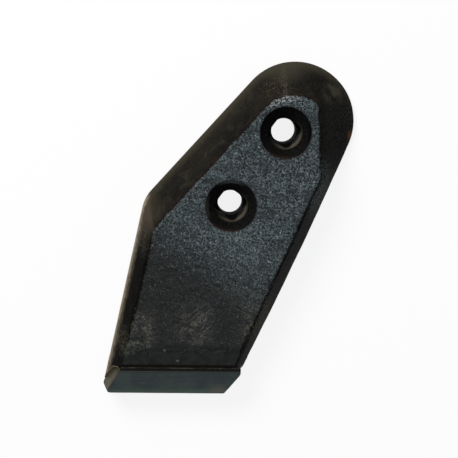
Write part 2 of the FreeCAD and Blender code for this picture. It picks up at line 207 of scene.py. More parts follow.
NOSE = facing_vector(NOSE_FACING)
ALONG_SEAM = facing_vector(NOSE_FACING + 90)


def smooth(low, high, value):
    """0 below low and 1 above high, or the other way round where low is the greater."""
    t = min(1.0, max(0.0, (value - low) / (high - low)))
    return t * t * (3 - 2 * t)


def meeting_point(facing_a, distance_a, facing_b, distance_b):
    a = facing_vector(facing_a)
    b = facing_vector(facing_b)
    cross = a.x * b.y - a.y * b.x
    return Vector(((distance_a * b.y - a.y * distance_b) / cross,
                   (a.x * distance_b - distance_a * b.x) / cross))


def rounding_centre(facing_a, distance_a, facing_b, distance_b, radius):
    return meeting_point(facing_a, distance_a - radius, facing_b, distance_b - radius)


def line_edge(start, end):
    return lambda u: start.lerp(end, u)


def arc_edge(centre, radius, start, end):
    return lambda u: centre + facing_vector(start + (end - start) * u) * radius


def outlines():
    """Pairs of matching edges of the back and the face, from the nose up the left edge and round."""
    wing_distance = HEEL.dot(facing_vector(WING_FACING)) + HEEL_RADIUS
    shoulder = rounding_centre(WING_FACING, wing_distance, LEFT_FACING, LEFT_DISTANCE, SHOULDER_RADIUS)
    bow = HEEL + facing_vector(RIGHT_FACING) * (HEEL_RADIUS - BOW_RADIUS)
    bow_end = NOSE_FACING + math.degrees(
        math.acos((NOSE_DISTANCE - bow.dot(NOSE)) / BOW_RADIUS))
    corner_run = FACET_FOOT_RADIUS * math.tan(math.radians((FACET_FACING - FACE_RIGHT_FACING) / 2))
    break_from, break_to = [
        math.degrees(math.asin((BREAK_Y + side * corner_run - bow.y) / BOW_RADIUS)) for side in (1, -1)]
    back = [
        line_edge(meeting_point(NOSE_FACING, NOSE_DISTANCE, LEFT_FACING, LEFT_DISTANCE),
                  shoulder + facing_vector(LEFT_FACING) * SHOULDER_RADIUS),
        arc_edge(shoulder, SHOULDER_RADIUS, LEFT_FACING, WING_FACING),
        line_edge(shoulder + facing_vector(WING_FACING) * SHOULDER_RADIUS,
                  HEEL + facing_vector(WING_FACING) * HEEL_RADIUS),
        arc_edge(HEEL, HEEL_RADIUS, WING_FACING, RIDGE_START),
        arc_edge(HEEL, HEEL_RADIUS, RIDGE_START, RIDGE_END),
        arc_edge(HEEL, HEEL_RADIUS, RIDGE_END, RIGHT_FACING),
        arc_edge(bow, BOW_RADIUS, RIGHT_FACING, break_from),
        arc_edge(bow, BOW_RADIUS, break_from, break_to),
        arc_edge(bow, BOW_RADIUS, break_to, bow_end),
    ]

    face_wing_distance = FACE_ARC.dot(facing_vector(WING_FACING)) + FACE_ARC_RADIUS
    face_shoulder = rounding_centre(WING_FACING, face_wing_distance, LEFT_FACING, FACE_LEFT_DISTANCE,
                                    FACE_SHOULDER_RADIUS)
    corner_reach = FACE_ARC_RADIUS - FACET_CORNER_RADIUS
    corner_depth = FACET_DISTANCE - FACET_CORNER_RADIUS - FACE_ARC.dot(facing_vector(FACET_FACING))
    arc_end = FACET_FACING + math.degrees(math.acos(corner_depth / corner_reach))
    corner = FACE_ARC + facing_vector(arc_end) * corner_reach
    facet_start = corner + facing_vector(FACET_FACING) * FACET_CORNER_RADIUS
    facet_break = facet_start + facing_vector(FACET_FACING - 90) * FACET_BREAK_LENGTH
    foot = rounding_centre(FACET_FACING, FACET_DISTANCE, FACE_RIGHT_FACING, FACE_RIGHT_DISTANCE,
                           FACET_FOOT_RADIUS)
    face = [
        line_edge(meeting_point(NOSE_FACING, NOSE_DISTANCE, LEFT_FACING, FACE_LEFT_DISTANCE),
                  face_shoulder + facing_vector(LEFT_FACING) * FACE_SHOULDER_RADIUS),
        arc_edge(face_shoulder, FACE_SHOULDER_RADIUS, LEFT_FACING, WING_FACING),
        line_edge(face_shoulder + facing_vector(WING_FACING) * FACE_SHOULDER_RADIUS,
                  FACE_ARC + facing_vector(WING_FACING) * FACE_ARC_RADIUS),
        arc_edge(FACE_ARC, FACE_ARC_RADIUS, WING_FACING, arc_end),
        arc_edge(corner, FACET_CORNER_RADIUS, arc_end, FACET_FACING),
        line_edge(facet_start, facet_break),
        line_edge(facet_break, foot + facing_vector(FACET_FACING) * FACET_FOOT_RADIUS),
        arc_edge(foot, FACET_FOOT_RADIUS, FACET_FACING, FACE_RIGHT_FACING),
        line_edge(foot + facing_vector(FACE_RIGHT_FACING) * FACET_FOOT_RADIUS,
                  meeting_point(NOSE_FACING, NOSE_DISTANCE, FACE_RIGHT_FACING, FACE_RIGHT_DISTANCE)),
    ]
    return list(zip(back, face))


EDGES = outlines()
LAST_EDGE = len(EDGES) - 1
FALL_RUN = SEAM - SEAM_CHAMFER - FALL_START
FALL_RADIUS = (FALL_RUN ** 2 + FALL_DEPTH ** 2) / (2 * FALL_DEPTH)
SEAM_HEIGHT = THICKNESS - FALL_DEPTH


def flank_point(edge, u, z):
    """A point of the flank at a height: upright below the rim, then ruled up to the face."""
    back, face = EDGES[edge]
    return back(u).lerp(face(u), max(0.0, (z - RIM_HEIGHT) / (THICKNESS - RIM_HEIGHT)))


def face_height(distance):
    """The height of the soil face at a distance towards the nose."""
    beyond = max(0.0, distance - FALL_START)
    return THICKNESS - FALL_RADIUS + math.sqrt(FALL_RADIUS ** 2 - beyond ** 2)


def seat_distance(z):
    """How far the body reaches towards the nose at a height."""
    if z <= KNEE[1]:
        return FOOT + (KNEE[0] - FOOT) * z / KNEE[1]
    seat = KNEE[0] + (SEAM - KNEE[0]) * (z - KNEE[1]) / (SEAM_HEIGHT - KNEE[1])
    return min(seat, SEAM - SEAM_CHAMFER + (SEAM_HEIGHT - z) * 1.3)


def nose_limit(edge, z):
    """How far an edge may reach towards the nose at a height: on the right, no further than the notch."""
    return seat_distance(z) if edge == 0 else min(seat_distance(z), TOE_NOTCH)


def nose_end(edge, z):
    """The place along the first or last edge at which the body ends at a height."""
    limit = nose_limit(edge, z)
    inside, outside = (1.0, 0.0) if edge == 0 else (0.0, 1.0)
    for _ in range(40):
        middle = (inside + outside) / 2
        if flank_point(edge, middle, z).dot(NOSE) > limit:
            outside = middle
        else:
            inside = middle
    return inside


def edge_place(edge, share, z):
    """The place along an edge for a share of its length between the nose cut and its end."""
    if edge == 0:
        start = nose_end(0, z)
        return start + (1 - start) * share
    if edge == LAST_EDGE:
        return nose_end(LAST_EDGE, z) * share
    return share


def columns():
    """Edge and share of each upright line of the flank mesh, from the nose round to the nose."""
    found = []
    for edge, pair in enumerate(EDGES):
        longest = max((side(0.0) - side(1.0)).length for side in pair)
        count = max(4, math.ceil(longest / COLUMN_STEP))
        found += [(edge, step / count) for step in range(count)]
    return found + [(LAST_EDGE, 1.0)]


def level_shares():
    """Shares of the flank's height: close together at the rim and below the face."""
    rim = RIM_HEIGHT / THICKNESS
    even_from = 0.17
    even_steps = 26
    even = [even_from + (1.0 - even_from) * step / even_steps for step in range(even_steps + 1)]
    return [0.02, 0.045, 0.08, rim - 0.02, rim + 0.02] + even


def flank_column(edge, share):
    """Points up one column: back edge rounding, flank, face edge rounding and the start of the face."""
    height = THICKNESS
    for _ in range(6):
        place = edge_place(edge, share, height)
        corner = flank_point(edge, place, height)
        height = face_height(corner.dot(NOSE))
    distance = corner.dot(NOSE)
    face = EDGES[edge][1]
    ahead = face(min(1.0, place + 0.001)) - face(max(0.0, place - 0.001))
    inward = Vector((ahead.y, -ahead.x)).normalized()
    seam_weight = smooth(SEAM - 5.0, SEAM - SEAM_CHAMFER - 0.02, distance)
    seam_inward = ALONG_SEAM if edge == 0 else -ALONG_SEAM
    across = inward.lerp(seam_inward, seam_weight) if edge in (0, LAST_EDGE) else inward
    across = across / across.dot(inward)

    below = flank_point(edge, edge_place(edge, share, height - 2.0), height - 2.0)
    down = Vector((*(below - corner), -2.0)).normalized()
    flat = Vector((*across, 0.0))
    turn = math.acos(max(-1.0, min(1.0, (-down).dot(Vector((*inward, 0.0))))))
    run = FACE_EDGE_RADIUS * math.tan(turn / 2)
    low = height + down.z * run

    points = []
    rim = flank_point(edge, edge_place(edge, share, 0.0), 0.0)
    for step in range(4):
        angle = math.radians(90 * step / 4)
        points.append((rim + inward * BACK_EDGE_RADIUS * (1 - math.sin(angle)),
                       BACK_EDGE_RADIUS * (1 - math.cos(angle))))
    for level in level_shares():
        z = BACK_EDGE_RADIUS + (low - BACK_EDGE_RADIUS) * level
        points.append((flank_point(edge, edge_place(edge, share, z), z), z))
    start = points[-1]
    top = Vector((*corner, height))
    lower_end = Vector((*start[0], start[1]))
    upper_end = top + flat * run
    for step in range(1, FILLET_STEPS + 1):
        t = step / FILLET_STEPS
        middle = 2 * t * (1 - t) * math.cos(turn / 2)
        total = (1 - t) ** 2 + middle + t ** 2
        spot = (lower_end * (1 - t) ** 2 + top * middle + upper_end * t ** 2) / total
        points.append((Vector((spot.x, spot.y)), spot.z))
    last = points[-1][0]
    points[-1] = (last, face_height(last.dot(NOSE)))

    at_end = (edge == 0 and share == 0.0) or (edge == LAST_EDGE and share == 1.0)
    settled = []
    for spot, z in points:
        beyond = spot.dot(NOSE) - nose_limit(edge, z)
        if at_end or beyond > 0:
            spot = spot - NOSE * beyond
        settled.append(Vector((spot.x, spot.y, z)))
    return settled


def seat_columns(right, left):
    """Upright lines across the bar's seat, from the right end of the nose to its left end."""
    count = math.ceil((right[0] - left[0]).length / COLUMN_STEP)
    rows = []
    for right_point, left_point in zip(right, left):
        z = right_point.z
        corner = right_point.xy
        seat = seat_distance(z)
        # The toe's right corner is cut back, so the loop turns inwards there and forwards again.
        notch = meeting_point(NOSE_FACING, min(seat, TOE_NOTCH), BAR_RIGHT_FACING, BAR_RIGHT_DISTANCE)
        forward = meeting_point(NOSE_FACING, seat, BAR_RIGHT_FACING, BAR_RIGHT_DISTANCE)
        if (corner - notch).dot(ALONG_SEAM) > 0 and seat > TOE_NOTCH:
            row = [(notch, z), (forward, z)]
        else:
            row = [(corner, z), (corner, z)]
        from_side = row[-1][0].dot(ALONG_SEAM)
        to_side = left_point.xy.dot(ALONG_SEAM)
        for step in range(1, count):
            t = step / count
            height = z + (left_point.z - z) * t
            side = from_side + (to_side - from_side) * t
            row.append((NOSE * seat_distance(height) + ALONG_SEAM * side, height))
        rows.append([Vector((spot.x, spot.y, height)) for spot, height in row])
    return [list(column) for column in zip(*rows)]


def body_columns():
    flank = [flank_column(edge, share) for edge, share in columns()]
    return flank + seat_columns(flank[-1], flank[0])


def neck_radius(angle):
    """The distance from the bolt's axis to the rounded square neck in a direction."""
    folded = abs((math.degrees(angle) + 45) % 90 - 45)
    direction = math.radians(folded)
    centre = NECK_HALF - NECK_CORNER_RADIUS
    straight = NECK_HALF / math.cos(direction)
    if straight * math.sin(direction) <= centre:
        return straight
    along = centre * (math.cos(direction) + math.sin(direction))
    spare = 2 * centre ** 2 - along ** 2
    return along + math.sqrt(NECK_CORNER_RADIUS ** 2 - spare)


def seat_height(radius):
    """The height of the countersink's cone at a distance from the bolt's axis."""
    share = (radius - NECK_HALF) / (SEAT_RADIUS - NECK_HALF)
    return THICKNESS - NECK_TOP_DEPTH + share * (NECK_TOP_DEPTH - MOUTH_DEPTH)


def sink_column(angle):
    """Radius and height down one side of a hole, from the face to the back."""
    neck = neck_radius(angle)
    neck_top = seat_height(neck)
    neck_foot = THICKNESS - NECK_FOOT_DEPTH
    points = [(SINK_RADIUS + SINK_LIP, THICKNESS)]
    for step in range(1, 4):
        turn = math.radians(90 * step / 4)
        points.append((SINK_RADIUS + SINK_LIP * (1 - math.sin(turn)),
                       THICKNESS - SINK_LIP * (1 - math.cos(turn))))
    for step in range(1, 5):
        t = step / 4
        points.append((SINK_RADIUS + (SEAT_RADIUS - SINK_RADIUS) * t,
                       THICKNESS - SINK_LIP - (MOUTH_DEPTH - SINK_LIP) * t))
    for step in range(1, 9):
        radius = SEAT_RADIUS + (neck + NECK_EDGE - SEAT_RADIUS) * step / 8
        points.append((radius, seat_height(radius)))
    points.append((neck + 0.07, neck_top - 0.02))
    upper = neck_top - NECK_EDGE
    points += [(neck, upper + (neck_foot - upper) * step / 8) for step in range(1, 9)]
    points.append((BORE_RADIUS + 0.15, neck_foot - 0.02))
    upper = neck_foot - BORE_EDGE
    points += [(BORE_RADIUS, upper + (BORE_EDGE - upper) * step / 8) for step in range(1, 9)]
    points.append((BORE_FOOT_RADIUS, 0.0))
    return points


def add_grid(mesh, lines, closed):
    """Faces between neighbouring lines of vertices."""
    pairs = list(zip(lines, lines[1:] + lines[:1])) if closed else list(zip(lines, lines[1:]))
    for line, following in pairs:
        for index in range(len(line) - 1):
            corners = [line[index], following[index], following[index + 1], line[index + 1]]
            mesh.faces.new(corners)


def add_tube(mesh, rings):
    """Faces between neighbouring rings, in one list for each two rings, and the faces over both ends."""
    bands = []
    for line, following in zip(rings, rings[1:]):
        band = []
        for index in range(len(line)):
            after = (index + 1) % len(line)
            band.append(mesh.faces.new([line[index], line[after], following[after], following[index]]))
        bands.append(band)
    return bands, mesh.faces.new(rings[0]), mesh.faces.new(rings[-1])


def finish_mesh(mesh):
    """Merges points that fall together, splits the faces over the ends, and turns all faces outwards."""
    bmesh.ops.remove_doubles(mesh, verts=mesh.verts, dist=MERGE_DISTANCE)
    bmesh.ops.triangulate(mesh, faces=[face for face in mesh.faces if len(face.verts) > 4])
    bmesh.ops.recalc_face_normals(mesh, faces=mesh.faces)


def triangle_sides(corners):
    return [frozenset(pair) for pair in zip(corners, corners[1:] + corners[:1])]


def outer_triangles(triangles, border_sides):
    """The triangles outside the border, found by spreading in from the hull of the points."""
    owners = {}
    for number, corners in enumerate(triangles):
        for side in triangle_sides(corners):
            owners.setdefault(side, []).append(number)
    outside = set()
    waiting = [numbers[0] for side, numbers in owners.items()
               if len(numbers) == 1 and side not in border_sides]
    while waiting:
        number = waiting.pop()
        if number in outside:
            continue
        outside.add(number)
        for side in triangle_sides(triangles[number]):
            if side not in border_sides:
                waiting += owners[side]
    return outside


def loop_spans(loop, y):
    """The stretches along x, at one y, that lie inside a closed outline."""
    crossings = []
    for a, b in zip(loop, loop[1:] + loop[:1]):
        if (a.y > y) != (b.y > y):
            crossings.append(a.x + (b.x - a.x) * (y - a.y) / (b.y - a.y))
    crossings.sort()
    return list(zip(crossings[::2], crossings[1::2]))


def fill_face(mesh, border, holes, step, height_at, upwards, material_index):
    """Triangles between a border loop and the loops of the holes, through a lattice of points.

    Each hole is given as its loop, its centre and its radius.
    """
    border_2d = [vertex.co.xy for vertex in border]
    points = list(border_2d)
    vertices = list(border)
    edges = [(index, (index + 1) % len(border)) for index in range(len(border))]
    rims = []
    for loop, _, _ in holes:
        first = len(points)
        rims.append(range(first, first + len(loop)))
        points += [vertex.co.xy for vertex in loop]
        vertices += loop
        edges += [(first + index, first + (index + 1) % len(loop)) for index in range(len(loop))]
    keep_off = 0.45 * step
    row = 0
    y = min(point.y for point in border_2d) + step / 2
    highest = max(point.y for point in border_2d)
    while y < highest:
        for x_from, x_to in loop_spans(border_2d, y):
            x = math.ceil(x_from / step) * step + (step / 2 if row % 2 else 0.0)
            while x < x_to - keep_off:
                spot = Vector((x, y))
                clear = all((spot - centre).length > radius + keep_off for _, centre, radius in holes)
                if x > x_from + keep_off and clear:
                    points.append(spot)
                    vertices.append(mesh.verts.new((x, y, height_at(spot))))
                x += step
        y += step * math.sqrt(3) / 2
        row += 1
    _, _, triangles, originals, _, _ = delaunay_2d_cdt(points, edges, [], 0, 1e-6, True)
    place = [sources[0] if sources else None for sources in originals]
    merged = {source: sources[0] for sources in originals for source in sources}
    border_sides = {frozenset((merged[start], merged[end])) for start, end in edges[:len(border)]}
    triangles = [[place[index] for index in triangle] for triangle in triangles]
    outside = outer_triangles(triangles, border_sides)
    for number, corners in enumerate(triangles):
        if number in outside or None in corners or len(set(corners)) < 3:
            continue
        # A triangle with all its corners on one hole's rim lies in that hole.
        if any(all(index in rim for index in corners) for rim in rims):
            continue
        spots = [points[index] for index in corners]
        middle = (spots[0] + spots[1] + spots[2]) / 3
        turn = (spots[1] - spots[0]).cross(spots[2] - spots[0])
        if (turn > 0) != upwards:
            corners.reverse()
        face = mesh.faces.new([vertices[index] for index in corners])
        face.material_index = FLANKS if middle.dot(NOSE) > DARK_EDGE else material_index


def make_body():
    mesh = bmesh.new()
    lines = [[mesh.verts.new(point) for point in column] for column in body_columns()]
    add_grid(mesh, lines, closed=True)
    tops = []
    feet = []
    for centre in HOLE_CENTRES:
        sink_lines = []
        for index in range(SINK_COLUMNS):
            angle = 2 * math.pi * index / SINK_COLUMNS
            direction = Vector((math.cos(angle), math.sin(angle)))
            sink_lines.append([mesh.verts.new((*(centre + direction * radius), z))
                               for radius, z in sink_column(angle)])
        add_grid(mesh, sink_lines, closed=True)
        tops.append(([line[0] for line in sink_lines], centre, SINK_RADIUS + SINK_LIP))
        feet.append(([line[-1] for line in sink_lines], centre, BORE_FOOT_RADIUS))
    fill_face(mesh, [line[-1] for line in lines], tops, FACE_STEP,
              lambda spot: face_height(spot.dot(NOSE)), upwards=True, material_index=SOIL_FACE)
    fill_face(mesh, [line[0] for line in lines], feet, BACK_STEP, lambda spot: 0.0, upwards=False,
              material_index=FLANKS)
    behind_seam = [line for line in lines if line[-1].co.xy.dot(NOSE) < SEAM - 1.0]
    rims = [line[-(FILLET_STEPS // 2)].co.copy() for line in behind_seam]
    finish_mesh(mesh)
    return mesh, rims


def bar_profile(inset):
    """The bar's section, rounded in front and sharp at the seat. An inset draws in its rounded parts."""
    points = []
    for index, (x, z, radius) in enumerate(BAR_SECTION):
        here = Vector((x, z))
        before = (Vector(BAR_SECTION[index - 1][:2]) - here).normalized()
        after = (Vector(BAR_SECTION[(index + 1) % len(BAR_SECTION)][:2]) - here).normalized()
        half = before.angle(after) / 2
        towards = (before + after).normalized()
        centre = here + towards * (radius / math.sin(half))
        sweep = math.pi - 2 * half
        for step in range(5):
            turn = sweep * (step / 4 - 0.5)
            direction = Vector((-towards.x * math.cos(turn) + towards.y * math.sin(turn),
                                -towards.x * math.sin(turn) - towards.y * math.cos(turn)))
            points.append(centre + direction * (radius - inset * radius / BAR_EDGE_RADIUS))
    filled = []
    for here, following in zip(points, points[1:] + points[:1]):
        count = max(1, math.ceil((following - here).length / BAR_STEP))
        filled += [here.lerp(following, step / count) for step in range(count)]
    return filled


def end_plane(facing, distance, run, spot):
    """How far along the seam an end plane of the bar lies, at a distance and height of its section."""
    out = facing_vector(facing)
    reach = distance - run * spot.y / THICKNESS
    return (reach - spot.x * out.dot(NOSE)) / out.dot(ALONG_SEAM)


def left_end(spot):
    """The bar's left end, with its front corner rounded."""
    plane = end_plane(BAR_LEFT_FACING, BAR_LEFT_DISTANCE, BAR_LEFT_RUN, spot)
    into_corner = min(BAR_CORNER_RADIUS, max(0.0, spot.x - (BAR_LIP - BAR_CORNER_RADIUS)))
    return plane + BAR_CORNER_RADIUS - math.sqrt(BAR_CORNER_RADIUS ** 2 - into_corner ** 2)


def right_end(spot):
    """The bar's right end: its bevel, or the shoulder behind it."""
    return min(BAR_SHOULDER, end_plane(BAR_RIGHT_FACING, BAR_RIGHT_DISTANCE, 0.0, spot))


def make_bar():
    mesh = bmesh.new()
    roundings = []
    for step in range(BAR_EDGE_STEPS + 1):
        turn = math.radians(90 * step / BAR_EDGE_STEPS)
        inset = BAR_EDGE_RADIUS * 0.98 * (1 - math.sin(turn))
        roundings.append((inset, BAR_EDGE_RADIUS * (1 - math.cos(turn))))

    def ring(inset, share, left_gap, right_gap):
        line = []
        for spot in bar_profile(inset):
            left = left_end(spot) + left_gap
            right = right_end(spot) - right_gap
            side = left + (right - left) * share
            xy = NOSE * spot.x + ALONG_SEAM * side
            line.append(mesh.verts.new((xy.x, xy.y, spot.y)))
        return line

    rings = [ring(inset, 0.0, gap, 0.0) for inset, gap in roundings]
    for step in range(1, BAR_LENGTH_STEPS):
        rings.append(ring(0.0, step / BAR_LENGTH_STEPS, BAR_EDGE_RADIUS, BAR_EDGE_RADIUS))
    rings += [ring(inset, 1.0, 0.0, gap) for inset, gap in reversed(roundings)]
    bands, left_cap, right_cap = add_tube(mesh, rings)
    for number, band in enumerate(bands):
        for face in band:
            behind_crest = max(vertex.co.xy.dot(NOSE) for vertex in face.verts) < BAR_CREST
            face.material_index = BAR_DULL if number < BAR_EDGE_STEPS or behind_crest else BAR_STEEL
    left_cap.material_index = BAR_DULL
    right_cap.material_index = BAR_STEEL
    finish_mesh(mesh)
    return mesh


def rough(place, size):
    """Noise from 0 to 1 whose lumps are about a size across."""
    return 0.5 + 0.5 * noise.noise(place / size)


def dent(place, shape):
    """How deep the skin is dented at a place, for the depth and the size of the dents."""
    depth, size = shape
    return depth * rough(place, size)


def hole_gap(point):
    """The distance from a hole's mouth, less than nothing inside it."""
    return min((point.xy - centre).length for centre in HOLE_CENTRES) - SINK_RADIUS


def wall_normal(vertex):
    """A vertex's normal, without a share from the bar's seat."""
    walls = [face.normal for face in vertex.link_faces if face.normal.xy.dot(NOSE) < 0.6]
    return sum(walls, Vector()).normalized() if walls else vertex.normal


def add_layers(mesh, names):
    """Numbers for each vertex, by name, which the materials read."""
    return {name: mesh.verts.layers.float.new(name) for name in names}


def dress_body(mesh, rims):
    """Notes each vertex's place for the material, then works the rough forged skin into the mesh."""
    mesh.normal_update()
    tree = KDTree(len(rims))
    for index, point in enumerate(rims):
        tree.insert(Vector((point.x, point.y, 0.0)), index)
    tree.balance()
    layers = add_layers(mesh, ("edge_gap", "hole_gap", "toward_nose", "along_seam", "left_wall",
                               "right_wall", "seat"))
    moves = []
    left_out = Vector((*facing_vector(LEFT_FACING), 0.0))
    right_out = Vector((*facing_vector(RIGHT_WALL_FACING), 0.0))
    for vertex in mesh.verts:
        point = vertex.co
        normal = vertex.normal
        gap = tree.find(Vector((point.x, point.y, 0.0)))[2]
        distance = point.xy.dot(NOSE)
        hole = hole_gap(point)
        on_face = normal.z > 0.85 and point.z > face_height(distance) - 0.6
        if not on_face:
            gap = -math.hypot(gap, max(0.0, face_height(distance) - point.z))
        vertex[layers["edge_gap"]] = gap
        vertex[layers["hole_gap"]] = hole
        vertex[layers["toward_nose"]] = distance
        vertex[layers["along_seam"]] = point.xy.dot(ALONG_SEAM)
        outward = wall_normal(vertex) if distance > SEAM - 4.0 else normal
        aside = Vector((outward.x, outward.y, 0.0))
        steep = smooth(0.3, 0.6, aside.length)
        vertex[layers["left_wall"]] = steep * smooth(0.88, 0.985, aside.normalized().dot(left_out))
        vertex[layers["right_wall"]] = smooth(0.2, 0.7, outward.dot(right_out))
        vertex[layers["seat"]] = float(distance > seat_distance(point.z) - 0.02)

        if hole < 0.6:
            in_sink = smooth(THICKNESS - NECK_TOP_DEPTH, THICKNESS - NECK_TOP_DEPTH + 1.0, point.z)
            moves.append(-normal * dent(point, SINK_DENT) * in_sink)
            continue
        clear_of_seat = 1 - smooth(SEAM - 3.0, SEAM - 1.0, distance)
        if on_face:
            # The skin is shallower towards the nose, and nearly smooth in the strip before the seam.
            depth = dent(point, FACE_DENT) + dent(point + Vector((40, 0, 0)), FACE_GRAIN)
            depth *= 1 - 0.75 * smooth(91.0, 95.0, distance)
            depth *= 0.35 + 0.65 * smooth(80.0, 10.0, distance)
        else:
            depth = dent(point, FLANK_DENT) + dent(point, FLANK_GRAIN)
        inwards = -normal * depth * smooth(0.05, 1.0, point.z) * clear_of_seat
        near_edge = smooth(9.0, 1.0, abs(gap)) * smooth(8.0, 20.0, point.z) * smooth(0.5, 3.0, hole)
        wander = Vector()
        for width, length, offset in EDGE_WANDER:
            place = point / length
            wander += Vector((noise.noise(place), noise.noise(place + offset), 0.0)) * width
        moves.append(inwards + wander * near_edge * clear_of_seat)
    for vertex, move in zip(mesh.verts, moves):
        vertex.co += move
    return mesh


def dress_bar(mesh):
    """Notes each vertex's place for the material, then works slight dents into the bar."""
    mesh.normal_update()
    layers = add_layers(mesh, ("toward_nose", "along_seam", "end_wall"))
    end_out = Vector((*facing_vector(BAR_LEFT_FACING), 0.0))
    moves = []
    for vertex in mesh.verts:
        point = vertex.co
        distance = point.xy.dot(NOSE)
        vertex[layers["toward_nose"]] = distance
        vertex[layers["along_seam"]] = point.xy.dot(ALONG_SEAM)
        vertex[layers["end_wall"]] = smooth(0.3, 0.8, vertex.normal.dot(end_out))
        seated = distance < seat_distance(point.z) + 0.3 or point.z < 0.3
        depth = 0.0 if seated else dent(point, BAR_DENT) + dent(point, BAR_GRAIN)
        moves.append(-vertex.normal * depth)
    for vertex, move in zip(mesh.verts, moves):
        vertex.co += move
    return mesh


def make_bead():
    """The thin uneven line of filler that shows in the seam, and the lump at its right end."""
    mesh = bmesh.new()
    seam_place = Vector((SEAM + 0.1, BAR_SEAT_HEIGHT))
    left = left_end(seam_place) + 0.7
    right = right_end(seam_place) - 0.7
    rings = []
    for step in range(BEAD_STEPS + 1):
        side = left + (right - left) * step / BEAD_STEPS
        place = Vector((side, 0.0, 0.0))
        radius = 0.20 + 0.14 * rough(place, 3.1) + 0.08 * rough(place, 0.9)
        radius += 0.45 * smooth(4.5, 2.0, right - side) * smooth(-0.1, 0.8, right - side)
        taper = smooth(-0.01, 0.5, side - left) * smooth(-0.01, 0.5, right - side)
        radius = BEAD_TIP_RADIUS + (radius - BEAD_TIP_RADIUS) * taper
        centre = NOSE * (seam_place.x + 0.12 * noise.noise(place / 2.0)) + ALONG_SEAM * side
        ring = []
        for index in range(BEAD_SIDES):
            turn = 2 * math.pi * index / BEAD_SIDES
            spot = centre + NOSE * radius * math.cos(turn)
            ring.append(mesh.verts.new((spot.x, spot.y, seam_place.y + radius * math.sin(turn))))
        rings.append(ring)
    add_tube(mesh, rings)
    finish_mesh(mesh)
    return mesh


